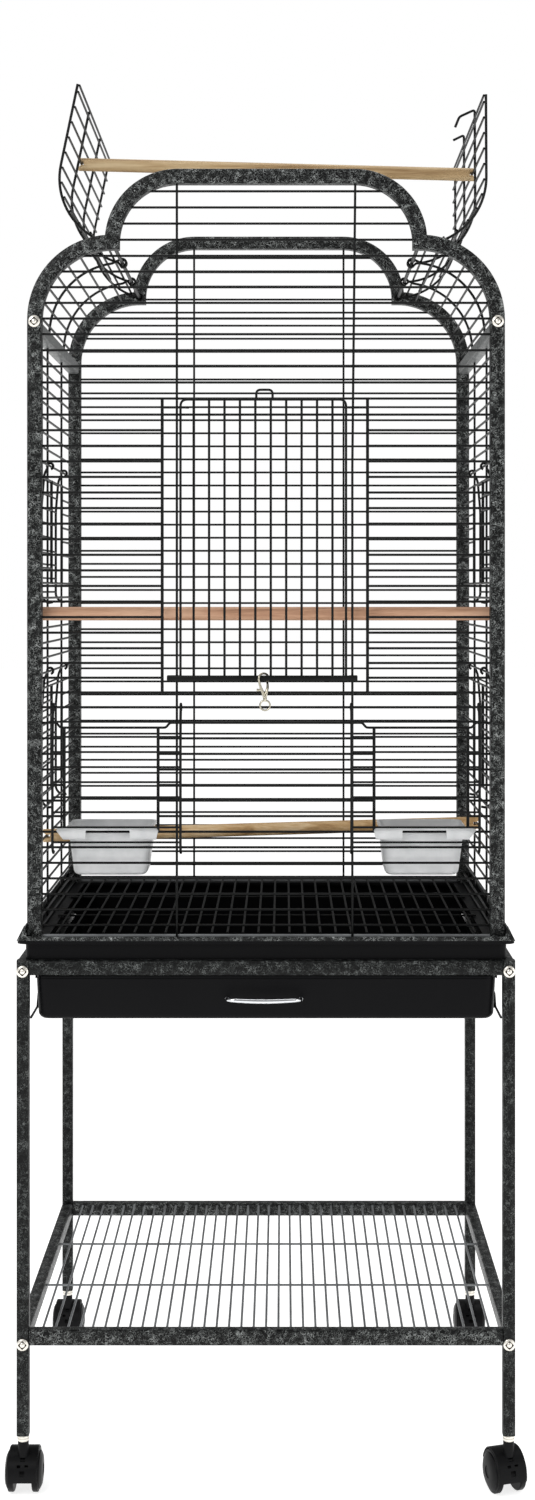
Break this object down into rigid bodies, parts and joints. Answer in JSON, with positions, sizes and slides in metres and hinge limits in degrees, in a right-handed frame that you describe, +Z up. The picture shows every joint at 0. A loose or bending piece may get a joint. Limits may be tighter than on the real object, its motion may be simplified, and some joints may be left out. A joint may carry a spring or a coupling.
{
  "type": "rolling bird cage",
  "caption": "Tall wire bird cage with an arched roof that opens into a play top, feeder cups, perches and a droppings drawer, on a wheeled tube stand with a wire shelf.",
  "frame": {"origin": "on the floor, under the middle of the stand", "axes": "+Z up, -Y towards the front with the main door and the drawer, +X to the right as seen from the front"},
  "size_m": [0.5341, 0.4674, 1.452],
  "materials": {
    "hammertone_steel": "black and silver hammertone powder coat on square steel tube",
    "black_wire": "satin black powder coat on round steel wire",
    "grey_painted_steel": "plain light grey powder coat",
    "black_plastic": "moulded black plastic with a soft sheen",
    "caster_nylon": "moulded black nylon",
    "chrome_plate": "bright plated steel",
    "cup_plastic": "smoky translucent moulded plastic",
    "dowel_wood": "plain unvarnished dowel"
  },
  "bodies": {
    "cage": {"base_skirt": "black_plastic", "seed_guard": "hammertone_steel", "floor_grate": "black_wire", "front_arch_frame": "hammertone_steel", "rear_arch_frame": "hammertone_steel", "front_wire_panel": "black_wire", "rear_wire_panel": "black_wire", "left_wire_panel": "black_wire", "right_wire_panel": "black_wire", "left_shoulder_rail": "grey_painted_steel", "right_shoulder_rail": "grey_painted_steel", "left_shoulder_panel": "black_wire", "right_shoulder_panel": "black_wire", "left_roof_hinge_rod": "black_wire", "right_roof_hinge_rod": "black_wire", "top_perch": "dowel_wood", "middle_perch": "dowel_wood", "lower_perch": "dowel_wood", "front_left_leg": "hammertone_steel", "front_right_leg": "hammertone_steel", "rear_left_leg": "hammertone_steel", "rear_right_leg": "hammertone_steel", "front_top_rail": "hammertone_steel", "rear_top_rail": "hammertone_steel", "left_top_rail": "hammertone_steel", "right_top_rail": "hammertone_steel", "front_shelf_rail": "hammertone_steel", "rear_shelf_rail": "hammertone_steel", "left_shelf_rail": "hammertone_steel", "right_shelf_rail": "hammertone_steel", "shelf_grid": "black_wire", "left_drawer_runner": "hammertone_steel", "right_drawer_runner": "hammertone_steel"},
    "drawer": {"drawer_tray": "black_plastic", "drawer_handle": "chrome_plate"},
    "main_door": {"main_door": "black_wire"},
    "snap_clip": {"snap_clip": "chrome_plate"},
    "left_roof_flap": {"left_roof_flap": "black_wire"},
    "right_roof_flap": {"right_roof_flap": "black_wire"},
    "left_feeder_door": {"left_feeder_door": "black_wire"},
    "right_feeder_door": {"right_feeder_door": "black_wire"},
    "left_upper_door": {"left_upper_door": "black_wire"},
    "left_lower_door": {"left_lower_door": "black_wire"},
    "right_upper_door": {"right_upper_door": "black_wire"},
    "right_lower_door": {"right_lower_door": "black_wire"},
    "left_feeder_cup": {"left_feeder_cup": "cup_plastic"},
    "right_feeder_cup": {"right_feeder_cup": "cup_plastic"},
    "front_left_caster": {"front_left_caster_hood": "caster_nylon"},
    "front_left_wheel_l": {"front_left_caster_wheel_l": "caster_nylon"},
    "front_left_wheel_r": {"front_left_caster_wheel_r": "caster_nylon"},
    "front_right_caster": {"front_right_caster_hood": "caster_nylon"},
    "front_right_wheel_l": {"front_right_caster_wheel_l": "caster_nylon"},
    "front_right_wheel_r": {"front_right_caster_wheel_r": "caster_nylon"},
    "rear_left_caster": {"rear_left_caster_hood": "caster_nylon"},
    "rear_left_wheel_l": {"rear_left_caster_wheel_l": "caster_nylon"},
    "rear_left_wheel_r": {"rear_left_caster_wheel_r": "caster_nylon"},
    "rear_right_caster": {"rear_right_caster_hood": "caster_nylon"},
    "rear_right_wheel_l": {"rear_right_caster_wheel_l": "caster_nylon"},
    "rear_right_wheel_r": {"rear_right_caster_wheel_r": "caster_nylon"}
  },
  "joints": [
    {"name": "drawer_slide", "type": "slide", "parent": "cage", "child": "drawer", "axis": [0, -1, 0], "range_m": [0, 0.3]},
    {"name": "main_door_slide", "type": "slide", "parent": "cage", "child": "main_door", "axis": [0, 0, 1], "range_m": [0, 0.2]},
    {"name": "snap_clip_swing", "type": "hinge", "parent": "main_door", "child": "snap_clip", "pos_m": [0, -0.19365, 0.83305], "axis": [-1, 0, 0], "range_deg": [0, 90]},
    {"name": "left_roof_flap_hinge", "type": "hinge", "parent": "cage", "child": "left_roof_flap", "pos_m": [-0.158, 0, 1.2805], "axis": [0, -1, 0], "range_deg": [0, 14]},
    {"name": "right_roof_flap_hinge", "type": "hinge", "parent": "cage", "child": "right_roof_flap", "pos_m": [0.158, 0, 1.2805], "axis": [0, 1, 0], "range_deg": [0, 5]},
    {"name": "left_feeder_door_hinge", "type": "hinge", "parent": "cage", "child": "left_feeder_door", "pos_m": [-0.15305, -0.1875, 0.803], "axis": [-1, 0, 0], "range_deg": [0, 120]},
    {"name": "right_feeder_door_hinge", "type": "hinge", "parent": "cage", "child": "right_feeder_door", "pos_m": [0.15305, -0.1875, 0.803], "axis": [-1, 0, 0], "range_deg": [0, 120]},
    {"name": "left_upper_door_hinge", "type": "hinge", "parent": "cage", "child": "left_upper_door", "pos_m": [-0.2375, 0.0048, 1.059], "axis": [0, 1, 0], "range_deg": [0, 120]},
    {"name": "left_lower_door_hinge", "type": "hinge", "parent": "cage", "child": "left_lower_door", "pos_m": [-0.2375, 0.0048, 0.835], "axis": [0, 1, 0], "range_deg": [0, 120]},
    {"name": "right_upper_door_hinge", "type": "hinge", "parent": "cage", "child": "right_upper_door", "pos_m": [0.2375, 0.0048, 1.059], "axis": [0, -1, 0], "range_deg": [0, 120]},
    {"name": "right_lower_door_hinge", "type": "hinge", "parent": "cage", "child": "right_lower_door", "pos_m": [0.2375, 0.0048, 0.835], "axis": [0, -1, 0], "range_deg": [0, 120]},
    {"name": "left_feeder_cup_lift", "type": "slide", "parent": "cage", "child": "left_feeder_cup", "axis": [0, 0, 1], "range_m": [0, 0.03]},
    {"name": "right_feeder_cup_lift", "type": "slide", "parent": "cage", "child": "right_feeder_cup", "axis": [0, 0, 1], "range_m": [0, 0.03]},
    {"name": "front_left_caster_swivel", "type": "hinge", "parent": "cage", "child": "front_left_caster", "pos_m": [-0.2477, -0.2011, 0.05], "axis": [0, 0, 1], "continuous": true},
    {"name": "front_right_caster_swivel", "type": "hinge", "parent": "cage", "child": "front_right_caster", "pos_m": [0.2477, -0.2011, 0.05], "axis": [0, 0, 1], "continuous": true},
    {"name": "rear_left_caster_swivel", "type": "hinge", "parent": "cage", "child": "rear_left_caster", "pos_m": [-0.2477, 0.2011, 0.05], "axis": [0, 0, 1], "continuous": true},
    {"name": "rear_right_caster_swivel", "type": "hinge", "parent": "cage", "child": "rear_right_caster", "pos_m": [0.2477, 0.2011, 0.05], "axis": [0, 0, 1], "continuous": true},
    {"name": "front_left_wheel_l_roll", "type": "hinge", "parent": "front_left_caster", "child": "front_left_wheel_l", "pos_m": [-0.2477, -0.1911, 0.02138], "axis": [1, 0, 0], "continuous": true},
    {"name": "front_left_wheel_r_roll", "type": "hinge", "parent": "front_left_caster", "child": "front_left_wheel_r", "pos_m": [-0.2477, -0.1911, 0.02138], "axis": [1, 0, 0], "continuous": true},
    {"name": "front_right_wheel_l_roll", "type": "hinge", "parent": "front_right_caster", "child": "front_right_wheel_l", "pos_m": [0.24478, -0.19154, 0.02138], "axis": [0.9563, 0.2924, 0], "continuous": true},
    {"name": "front_right_wheel_r_roll", "type": "hinge", "parent": "front_right_caster", "child": "front_right_wheel_r", "pos_m": [0.24478, -0.19154, 0.02138], "axis": [0.9563, 0.2924, 0], "continuous": true},
    {"name": "rear_left_wheel_l_roll", "type": "hinge", "parent": "rear_left_caster", "child": "rear_left_wheel_l", "pos_m": [-0.2477, 0.2111, 0.02138], "axis": [1, 0, 0], "continuous": true},
    {"name": "rear_left_wheel_r_roll", "type": "hinge", "parent": "rear_left_caster", "child": "rear_left_wheel_r", "pos_m": [-0.2477, 0.2111, 0.02138], "axis": [1, 0, 0], "continuous": true},
    {"name": "rear_right_wheel_l_roll", "type": "hinge", "parent": "rear_right_caster", "child": "rear_right_wheel_l", "pos_m": [0.2477, 0.2111, 0.02138], "axis": [1, 0, 0], "continuous": true},
    {"name": "rear_right_wheel_r_roll", "type": "hinge", "parent": "rear_right_caster", "child": "rear_right_wheel_r", "pos_m": [0.2477, 0.2111, 0.02138], "axis": [1, 0, 0], "continuous": true}
  ]
}
